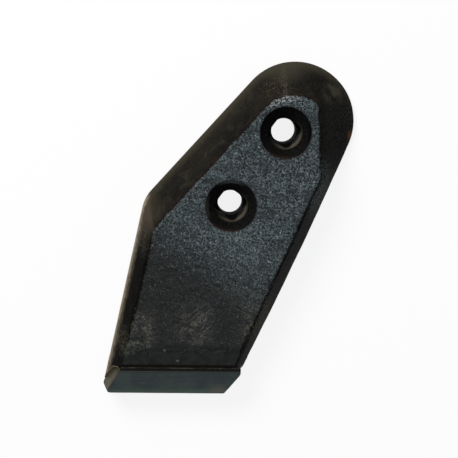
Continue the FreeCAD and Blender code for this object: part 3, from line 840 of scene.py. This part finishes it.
class Recipe:
    """A material built from nodes, with lengths in millimetres and colours as amounts of light."""

    def __init__(self, name, gloss):
        self.material = bpy.data.materials.new(name)
        self.material.use_nodes = True
        self.tree = self.material.node_tree
        self.shader = self.tree.nodes["Principled BSDF"]
        self.shader.inputs["Specular IOR Level"].default_value = gloss
        self.place = self.vector_math("SCALE", self.node("TexCoord").outputs["Object"])
        self.place.node.inputs["Scale"].default_value = 1 / MM

    def node(self, kind):
        return self.tree.nodes.new("ShaderNode" + kind)

    def feed(self, socket, value):
        if isinstance(value, bpy.types.NodeSocket):
            self.tree.links.new(value, socket)
        elif isinstance(value, tuple) and len(value) == 3 and socket.type == "RGBA":
            socket.default_value = (*value, 1.0)
        else:
            socket.default_value = value

    def attribute(self, name):
        node = self.node("Attribute")
        node.attribute_name = name
        return node.outputs["Fac"]

    def vector_math(self, operation, first, second=(0.0, 0.0, 0.0)):
        node = self.node("VectorMath")
        node.operation = operation
        self.feed(node.inputs[0], first)
        self.feed(node.inputs[1], second)
        return node.outputs[0]

    def noise(self, size, detail=2.0, roughness=0.5, offset=(0.0, 0.0, 0.0), stretch=None):
        """Noise with lumps about a size across, drawn out along a direction where a stretch is given."""
        place = self.vector_math("ADD", self.place, offset)
        if stretch:
            direction, factor = stretch
            mapping = self.node("Mapping")
            mapping.vector_type = "TEXTURE"
            self.feed(mapping.inputs["Vector"], place)
            mapping.inputs["Rotation"].default_value = (0.0, 0.0, math.radians(direction))
            mapping.inputs["Scale"].default_value = (factor, 1.0, 1.0)
            place = mapping.outputs[0]
        node = self.node("TexNoise")
        self.feed(node.inputs["Vector"], place)
        node.inputs["Scale"].default_value = 1 / size
        node.inputs["Detail"].default_value = detail
        node.inputs["Roughness"].default_value = roughness
        return node.outputs["Fac"]

    def math(self, operation, first, second=0.0):
        node = self.node("Math")
        node.operation = operation
        self.feed(node.inputs[0], first)
        self.feed(node.inputs[1], second)
        return node.outputs[0]

    def chain(self, operation, values):
        result = values[0]
        for value in values[1:]:
            result = self.math(operation, result, value)
        return result

    def times(self, *values):
        return self.chain("MULTIPLY", values)

    def plus(self, *values):
        return self.chain("ADD", values)

    def band(self, value, low, high):
        """0 below low and 1 above high, or the other way round where low is the greater."""
        node = self.node("MapRange")
        node.interpolation_type = "SMOOTHSTEP"
        flipped = low > high
        self.feed(node.inputs["Value"], value)
        node.inputs["From Min"].default_value = min(low, high)
        node.inputs["From Max"].default_value = max(low, high)
        node.inputs["To Min"].default_value = 1.0 if flipped else 0.0
        node.inputs["To Max"].default_value = 0.0 if flipped else 1.0
        return node.outputs[0]

    def window(self, value, low, inner_low, inner_high, high):
        """1 between the inner values, and 0 below low and above high."""
        return self.times(self.band(value, low, inner_low), self.band(value, high, inner_high))

    def patch(self, toward, along, reach_toward, reach_along):
        """1 around a place, given towards the nose and along the seam, and 0 beyond its reach."""
        squares = []
        for name, centre, reach in (("toward_nose", toward, reach_toward),
                                    ("along_seam", along, reach_along)):
            away = self.math("DIVIDE", self.math("SUBTRACT", self.attribute(name), centre), reach)
            squares.append(self.times(away, away))
        return self.band(self.math("SQRT", self.plus(*squares)), 1.0, 0.15)

    def mix(self, share, first, second):
        """A colour that goes from one to another as the share goes from 0 to 1."""
        node = self.node("Mix")
        node.data_type = "RGBA"
        self.feed(node.inputs[0], share)
        self.feed(node.inputs[6], first)
        self.feed(node.inputs[7], second)
        return node.outputs[2]

    def layered(self, colour, *layers):
        """A colour with tones laid over it in turn, each as far as the product of its shares."""
        for tone, *shares in layers:
            colour = self.mix(self.times(*shares), colour, tone)
        return colour

    def between(self, share, first, second):
        """A number that goes from one value to another as the share goes from 0 to 1."""
        node = self.node("Mix")
        self.feed(node.inputs[0], share)
        self.feed(node.inputs[2], first)
        self.feed(node.inputs[3], second)
        return node.outputs[0]

    def finish(self, colour, roughness, relief):
        self.feed(self.shader.inputs["Base Color"], colour)
        self.feed(self.shader.inputs["Roughness"], roughness)
        bump = self.node("Bump")
        self.feed(bump.inputs["Height"], relief)
        bump.inputs["Distance"].default_value = MM
        bump.inputs["Strength"].default_value = 1.0
        self.feed(self.shader.inputs["Normal"], bump.outputs[0])
        return self.material


def body_material(name, gloss):
    look = Recipe(name, gloss)
    band, patch, times, plus = look.band, look.patch, look.times, look.plus
    edge = look.attribute("edge_gap")
    hole = look.attribute("hole_gap")
    toward = look.attribute("toward_nose")
    along = look.attribute("along_seam")
    left_wall = look.attribute("left_wall")
    right_wall = look.attribute("right_wall")
    seat = look.attribute("seat")
    axes = look.node("SeparateXYZ")
    look.feed(axes.inputs[0], look.place)
    across = axes.outputs[0]
    height = axes.outputs[2]

    speck = look.noise(0.7, 2.0, 0.6)
    wrinkle = look.noise(1.0, 4.0, 0.72, (30.0, 0.0, 0.0))
    crumble = look.noise(3.0, 4.0, 0.65, (0.0, 0.0, 31.0))
    fold = look.noise(1.7, 3.0, 0.55, (0.0, 13.0, 0.0), stretch=(NOSE_FACING + 70, 2.2))
    blotch = look.noise(7.0, 4.0, 0.6, (0.0, 50.0, 0.0))
    cloud = look.noise(24.0, 2.0, 0.5, (0.0, 0.0, 70.0))
    wrinkled = band(wrinkle, 0.41, 0.61)
    speckled = band(look.noise(1.2, 4.0, 0.75, (11.0, 7.0, 0.0)), 0.44, 0.62)
    uneven = band(look.noise(5.0, 3.0, 0.6, (5.0, 3.0, 0.0)), 0.36, 0.60)
    crumble_swing = look.math("SUBTRACT", crumble, 0.5)

    # The soil face: blue-grey scale, wrinkled, with painted glints of light, duller towards the nose and
    # the left.
    pale = look.mix(wrinkled, (0.0100, 0.0160, 0.0180), (0.158, 0.210, 0.222))
    dull = look.mix(wrinkled, (0.0010, 0.0012, 0.0012), (0.0222, 0.0232, 0.0228))
    dull = look.layered(dull, ((0.0035, 0.0038, 0.0040), band(crumble, 0.50, 0.36), 0.55))
    fading = band(plus(toward, times(plus(along, 20.0), -0.6)), 28.0, 70.0)
    painted_glint_share = times(look.between(fading, 0.85, 0.26), band(crumble, 0.36, 0.56))
    face = look.layered(
        look.mix(wrinkled, (0.0050, 0.0085, 0.0100), (0.120, 0.161, 0.176)),
        ((0.0150, 0.0200, 0.0220), band(crumble, 0.52, 0.40), 0.35),
        ((0.0060, 0.0085, 0.0095), band(fold, 0.47, 0.36), 0.60),
        (pale, patch(38.0, -10.0, 24.0, 24.0), 0.7),
        (dull, fading),
        ((0.0130, 0.0145, 0.0165), band(blotch, 0.54, 0.38), 0.45),
        ((0.0045, 0.0053, 0.0053), patch(84.0, -47.5, 13.0, 4.5), 0.85),
        ((0.0045, 0.0053, 0.0053), patch(83.0, -15.5, 13.0, 9.0), 0.85),
        # Painted glints: bright specks that stand for highlights off the scale.
        ((0.36, 0.42, 0.43), band(speck, 0.61, 0.66), painted_glint_share))

    # Dry soil caught on the face, in soft speckled patches, and fine scratches.
    for *place, share in [(83.0, -57.0, 16.0, 11.0, 0.85), (80.0, -31.0, 16.0, 13.0, 0.65),
                          (77.0, -2.0, 22.0, 6.5, 0.75), (37.0, -53.5, 7.0, 4.5, 0.5),
                          (62.0, -10.0, 12.0, 12.0, 0.25), (32.0, -9.0, 5.0, 10.0, 0.30),
                          (46.0, 12.0, 11.0, 4.5, 0.35)]:
        face = look.layered(face, ((0.158, 0.154, 0.116), patch(*place), speckled, uneven, share))
    strokes = band(look.noise(0.7, 2.0, 0.5, (0.0, 0.0, 9.0), stretch=(80.0, 5.0)), 0.52, 0.66)
    face = look.layered(face, ((0.16, 0.165, 0.155), patch(77.0, -27.0, 16.0, 9.0), strokes, 0.6))

    # The strip in front of the seam is smooth and dark, darkest along the seam, with two small chips.
    # The face is darker along its right edge too.
    strip = band(plus(toward, times(crumble_swing, 12.0)), 89.5, 94.5)
    stripe = look.mix(band(crumble, 0.36, 0.66), (0.0025, 0.0036, 0.0028), (0.0095, 0.0112, 0.0092))
    chipped = band(speck, 0.38, 0.55)
    face = look.layered(
        face,
        (stripe, strip, 0.92),
        ((0.120, 0.130, 0.100), patch(90.5, -63.5, 6.5, 5.5), band(crumble, 0.40, 0.56), 0.5),
        ((0.0070, 0.0064, 0.0052), band(toward, 99.7, 100.3)),
        ((0.17, 0.18, 0.16), patch(92.2, -45.2, 1.0, 1.6), chipped, 0.75),
        ((0.17, 0.18, 0.16), patch(97.8, -38.5, 0.8, 1.3), chipped, 0.75),
        ((0.009, 0.009, 0.0095), band(across, 4.0, 16.0), band(edge, 2.6, 0.2), 0.55))

    # The left flank: pale along its rim as painted bounce light from the floor, darker above as painted
    # shade, with crumbs of soil at both ends.
    wavy = plus(height, times(crumble_swing, 8.0))
    # Painted shade: the left wall darkens upwards, away from the floor.
    painted_shade_above = times(band(wavy, 7.5, 11.5), band(toward, 24.0, 38.0))
    crumbs = plus(patch(36.0, -57.0, 12.0, 5.0), patch(89.0, -66.0, 11.0, 6.0))
    left = look.layered(
        look.mix(painted_shade_above, (0.056, 0.046, 0.033), (0.0018, 0.0016, 0.0014)),
        # Painted bounce light from the floor along the rim.
        ((0.265, 0.229, 0.175), band(wavy, 8.0, 2.5)),
        ((0.100, 0.084, 0.060), crumbs, speckled, 0.6),
        ((0.040, 0.033, 0.024), band(wrinkle, 0.52, 0.72), 0.25))

    # The flanks: brown grime over dark scale, with a painted highlight at the heel, paler at the shoulder,
    # and paler low by the rim from dust and painted bounce light. Painted shade darkens the right-facing
    # wall and the flank just below the face's edge.
    right_wall_shade = look.mix(wrinkled, (0.0060, 0.0060, 0.0056), (0.0250, 0.0250, 0.0235))
    flank = look.layered(
        look.mix(band(cloud, 0.35, 0.65), (0.0070, 0.0067, 0.0060), (0.0125, 0.0113, 0.0092)),
        # Paler low down: dust, with painted bounce light from the floor.
        ((0.046, 0.040, 0.028), band(height, 10.0, 1.5)),
        ((0.036, 0.032, 0.023), band(blotch, 0.50, 0.68), 0.4),
        # Painted highlight across the top of the heel.
        ((0.042, 0.039, 0.027), patch(-50.0, 12.0, 10.0, 20.0), 0.7),
        ((0.046, 0.037, 0.024), patch(20.0, -56.0, 17.0, 10.0), 0.6),
        ((0.075, 0.068, 0.052), band(speck, 0.5, 0.7), 0.22),
        # Painted shade over the right-facing wall.
        (right_wall_shade, right_wall, 0.85),
        # Painted shade on the flank just below the face's edge.
        ((0.006, 0.0055, 0.005), band(edge, -7.0, -0.8), 0.6),
        # A painted sheen on the right flank, painted shade on the heel's right, chips low on the right,
        # and an olive painted highlight on the heel's upper right.
        ((0.105, 0.115, 0.120), patch(10.0, 31.0, 22.0, 11.0), right_wall, speckled),
        ((0.0060, 0.0060, 0.0058), patch(-33.0, 26.0, 9.0, 11.0), band(blotch, 0.62, 0.42), 0.6),
        ((0.120, 0.115, 0.095), patch(76.0, 4.0, 26.0, 10.0), speckled, 0.60, right_wall),
        ((0.075, 0.070, 0.046), patch(-38.0, 38.0, 9.0, 8.0), band(blotch, 0.40, 0.62), 0.45),
        # Grime under the bar, the left flank with its painted light and shade, and the ledge of the bar's
        # seat at its left end.
        ((0.085, 0.072, 0.050), band(toward, 102.3, 103.0)),
        (left, left_wall),
        ((0.200, 0.165, 0.110), seat, band(along, -62.0, -64.0), band(height, BAR_SEAT_HEIGHT, 19.6), 0.9),
        # The streak up the heel, brown specks beside it, and the rust spot on the right rim.
        ((0.095, 0.090, 0.066), patch(-42.0, 12.4, 13.0, 2.4), band(speck, 0.42, 0.62), 0.42),
        ((0.105, 0.075, 0.048), patch(-40.0, 9.0, 7.0, 11.0), band(speck, 0.52, 0.64), 0.6),
        ((0.125, 0.062, 0.028), patch(-16.0, 47.4, 4.0, 2.2), 0.8))

    # The holes: nearly black, darker still at the steep mouth as painted shade, with painted light on the
    # heel side of the nose hole's mouth and painted shade on the right of the heel hole's mouth, and a
    # worn pale edge where the neck begins, lighter on the side towards the lamp as painted light.
    mouth = band(hole, -1.7, -1.0)
    worn = times(band(height, 17.4, 18.1), look.window(hole, -5.8, -5.0, -4.4, -3.7))
    worn_and_lit_side = plus(patch(-14.3, 16.1, 11.0, 11.0), patch(22.3, -10.1, 11.0, 11.0))
    sink = look.layered(
        look.mix(band(wrinkle, 0.45, 0.68), (0.0035, 0.0040, 0.0036), (0.0120, 0.0122, 0.0108)),
        # Painted shade in the steep mouth.
        ((0.0060, 0.0062, 0.0060), mouth, 0.7),
        # Painted light on the heel side of the nose hole's mouth.
        ((0.075, 0.092, 0.090), patch(5.0, -13.1, 6.0, 10.0), mouth, 0.8),
        ((0.075, 0.075, 0.060), patch(19.0, -25.5, 9.0, 5.0), mouth, 0.4),
        # Painted shade on the right of the heel hole's mouth.
        ((0.0020, 0.0022, 0.0022), patch(-18.3, 26.0, 10.0, 5.0), mouth, 0.8),
        # The worn edge, on the lit side only: wear with painted light.
        ((0.085, 0.074, 0.056), worn, worn_and_lit_side, 0.8))

    # Along the wing, the face has a worn burr, brightened as a painted highlight where its rounded edge
    # faces the lamp, a beaten end at the heel painted with white glints, and rust beside it.
    # The holes' rims are dark outside and brown on the side towards the nose.
    on_face = band(edge, -0.7, 0.4)
    wing_side = times(band(across, 16.0, 4.0), band(toward, 38.0, 30.0))
    burr_and_highlight = times(look.window(edge, -0.7, -0.1, 0.4, 1.3), band(wrinkle, 0.38, 0.56), wing_side)
    beaten_and_glints = times(patch(-34.0, 11.0, 6.0, 12.0), look.window(edge, -1.0, -0.2, 1.6, 3.0),
                   band(wrinkle, 0.46, 0.56))
    rust = times(look.window(edge, -4.4, -2.8, -1.4, -0.6), band(crumble, 0.46, 0.60), wing_side)
    browned = plus(patch(-8.0, 11.0, 9.0, 10.0), patch(29.0, -16.0, 9.0, 11.0))
    colour = look.layered(
        look.mix(on_face, flank, face),
        ((0.150, 0.160, 0.160), burr_and_highlight, 0.50),
        ((0.44, 0.45, 0.45), beaten_and_glints, 0.9),
        ((0.036, 0.020, 0.016), rust, 0.35),
        ((0.0160, 0.0120, 0.0105), band(hole, 1.5, 0.2), 0.6),
        (sink, band(hole, 0.45, -0.1)),
        ((0.046, 0.024, 0.019), browned, look.window(hole, -0.8, -0.4, 0.0, 0.4), 0.36))

    roughness = look.between(on_face, 0.65, look.between(speck, 0.30, 0.50))
    roughness = look.between(times(strip, on_face), roughness, 0.40)
    forged = plus(times(fold, 2.2), plus(times(wrinkle, 1.30), times(speck, 0.30)))
    relief = look.between(on_face, times(wrinkle, 0.15), forged)
    relief = look.between(strip, relief, times(wrinkle, 0.04))
    return look.finish(colour, roughness, relief)


def bar_material(name, gloss):
    look = Recipe(name, gloss)
    band, patch, times = look.band, look.patch, look.times
    toward = look.attribute("toward_nose")
    end_wall = look.attribute("end_wall")
    blotch = look.noise(9.0, 3.0, 0.5, (3.0, 0.0, 0.0))
    tint = look.noise(14.0, 2.0, 0.5, (0.0, 21.0, 0.0))
    grain = look.noise(1.3, 3.0, 0.6)
    drawn = look.noise(1.6, 3.0, 0.6, stretch=(NOSE_FACING + 90, 8.0))
    crest = band(toward, 104.6, 104.0)
    tan = look.layered(
        look.mix(blotch, (0.036, 0.030, 0.017), (0.084, 0.070, 0.045)),
        ((0.028, 0.024, 0.013), band(toward, 109.0, 103.5), 0.5))
    # Teal-grey, paler at the lip as a painted highlight, dark at the crest, dusty near the toe, and tan on
    # the left end.
    colour = look.layered(
        look.mix(band(tint, 0.42, 0.58), (0.026, 0.036, 0.038), (0.024, 0.043, 0.037)),
        ((0.046, 0.060, 0.055), band(blotch, 0.40, 0.62), 0.55),
        ((0.065, 0.080, 0.072), band(drawn, 0.52, 0.70), 0.30),
        # Painted highlight along the lip.
        ((0.066, 0.095, 0.075), band(toward, 112.5, 116.0), 0.6),
        ((0.020, 0.024, 0.021), crest, 0.7),
        ((0.0055, 0.0045, 0.0038), band(toward, 103.5, 103.1), 0.9),
        ((0.100, 0.092, 0.072), patch(114.5, -17.5, 3.5, 7.0), 0.6),
        (tan, end_wall))
    roughness = look.between(crest, look.between(blotch, 0.36, 0.52), 0.75)
    relief = look.plus(times(grain, 0.03), times(drawn, 0.03))
    return look.finish(colour, roughness, relief)


def bead_material():
    look = Recipe("braze_filler", BEAD_GLOSS)
    grain = look.noise(1.1, 3.0, 0.6)
    spots = look.noise(4.0, 2.0, 0.5)
    colour = look.mix(look.band(spots, 0.4, 0.6), (0.012, 0.011, 0.009), (0.042, 0.040, 0.032))
    return look.finish(colour, look.between(grain, 0.4, 0.6), look.times(grain, 0.08))


def add_piece(name, mesh, materials, node):
    """Turns a mesh in millimetres into a piece of the scene."""
    bmesh.ops.scale(mesh, vec=(MM, MM, MM), verts=mesh.verts)
    data = bpy.data.meshes.new(name)
    for face in mesh.faces:
        face.smooth = True
    mesh.to_mesh(data)
    mesh.free()
    data.set_sharp_from_angle(angle=math.radians(SHARP_ANGLE))
    piece = bpy.data.objects.new(name, data)
    bpy.context.scene.collection.objects.link(piece)
    for material in materials:
        data.materials.append(material)
    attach(piece, "root")
    if node:
        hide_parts(node)


body_mesh, body_rims = make_body()
body_looks = [body_material("forged_flanks", FLANK_GLOSS), body_material("forged_soil_face", FACE_GLOSS)]
add_piece("body_forging", dress_body(body_mesh, body_rims), body_looks, "point_body")
bar_looks = [bar_material("hard_bar_steel", BAR_GLOSS), bar_material("hard_bar_dull", DULL_GLOSS)]
add_piece("hard_bar", dress_bar(make_bar()), bar_looks, "tip_bar")
add_piece("braze_bead", make_bead(), [bead_material()], None)


def floor_material():
    """White where it is seen, with the object's shadow on it, and grey for the light it sends back."""
    material = bpy.data.materials.new("floor_white")
    material.use_nodes = True
    tree = material.node_tree
    tree.nodes.clear()

    def add(kind, *inputs):
        """A node whose first inputs are the given sockets, or the given values."""
        node = tree.nodes.new("ShaderNode" + kind)
        for socket, value in zip(node.inputs, inputs):
            if isinstance(value, bpy.types.NodeSocket):
                tree.links.new(value, socket)
            else:
                socket.default_value = value
        return node

    paths = add("LightPath")
    seen = paths.outputs["Is Camera Ray"]
    for name in ("Is Glossy Ray", "Is Transmission Ray"):
        either = add("Math", seen, paths.outputs[name])
        either.operation = "MAXIMUM"
        seen = either.outputs[0]
    bouncing = add("BsdfDiffuse", FLOOR_GREY)
    shadowed = add("BsdfDiffuse", FLOOR_WHITE)
    glow = add("Emission", (1, 1, 1, 1))
    white = add("MixShader", FLOOR_GLOW, shadowed.outputs[0], glow.outputs[0])
    floor_look = add("MixShader", seen, bouncing.outputs[0], white.outputs[0])
    add("OutputMaterial", floor_look.outputs[0])
    return material


def add_floor():
    data = bpy.data.meshes.new("floor")
    corners = [(x * FLOOR_HALF, y * FLOOR_HALF, 0) for x, y in ((-1, -1), (1, -1), (1, 1), (-1, 1))]
    data.from_pydata(corners, [], [(0, 1, 2, 3)])
    data.materials.append(floor_material())
    floor = bpy.data.objects.new("floor", data)
    floor.location.z = -FLOOR_DROP
    bpy.context.scene.collection.objects.link(floor)


def add_light():
    world = bpy.data.worlds.new("studio")
    bpy.context.scene.world = world
    world.use_nodes = True
    background = world.node_tree.nodes["Background"]
    background.inputs["Color"].default_value = SKY_COLOUR
    background.inputs["Strength"].default_value = SKY_STRENGTH
    data = bpy.data.lights.new("key", "AREA")
    data.shape = "DISK"
    data.size = LAMP_SIZE
    data.energy = LAMP_POWER
    data.color = LAMP_COLOUR
    lamp = bpy.data.objects.new("key", data)
    lamp.location = LAMP_PLACE
    lamp.rotation_euler = (-LAMP_PLACE).to_track_quat("-Z", "Y").to_euler()
    bpy.context.scene.collection.objects.link(lamp)


def add_camera():
    data = bpy.data.cameras.new("camera")
    camera = bpy.data.objects.new("camera", data)
    bpy.context.scene.collection.objects.link(camera)
    bpy.context.scene.camera = camera
    data.sensor_width = SENSOR_WIDTH
    data.lens = FOCAL_PIXELS / PICTURE_PIXELS * SENSOR_WIDTH
    looking = (CAMERA_AIM - CAMERA_PLACE).normalized()
    side = looking.cross(CAMERA_UP).normalized()
    upright = side.cross(looking)
    camera.matrix_world = Matrix((
        (side.x, upright.x, -looking.x, CAMERA_PLACE.x),
        (side.y, upright.y, -looking.y, CAMERA_PLACE.y),
        (side.z, upright.z, -looking.z, CAMERA_PLACE.z),
        (0, 0, 0, 1)))


add_floor()
add_light()
add_camera()

bpy.context.scene.view_settings.view_transform = "Standard"
